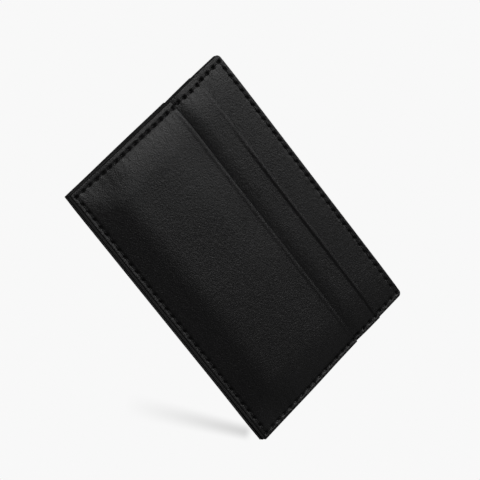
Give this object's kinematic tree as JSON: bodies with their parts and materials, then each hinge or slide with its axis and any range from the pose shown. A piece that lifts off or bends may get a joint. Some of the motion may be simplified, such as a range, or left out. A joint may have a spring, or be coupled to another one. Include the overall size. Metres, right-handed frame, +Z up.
{
  "type": "card holder",
  "caption": "Slim stitched black leather card holder with stepped card pockets on both faces and a central pocket open at the top.",
  "frame": {"origin": "middle of the bottom edge, midway between the front and back faces", "axes": "+X along the long side to the right as the front is seen, +Z up towards the pocket mouths, -Y out of the front face"},
  "size_m": [0.101, 0.0074, 0.07],
  "materials": {
    "leather": "smooth black calf leather, satin, fine grain, blackened cut edges",
    "lining": "matt black woven lining",
    "thread": "waxed black sewing thread"
  },
  "bodies": {
    "root": {"front_panel_lining": "lining", "front_panel": "leather", "front_upper_pocket": "leather", "front_upper_pocket_slip": "lining", "front_lower_pocket": "leather", "front_seam_thread": "thread", "front_hem_thread": "thread", "back_panel_lining": "lining", "back_panel": "leather", "back_upper_pocket": "leather", "back_upper_pocket_slip": "lining", "back_lower_pocket": "leather", "back_seam_thread": "thread", "back_hem_thread": "thread"}
  },
  "joints": []
}
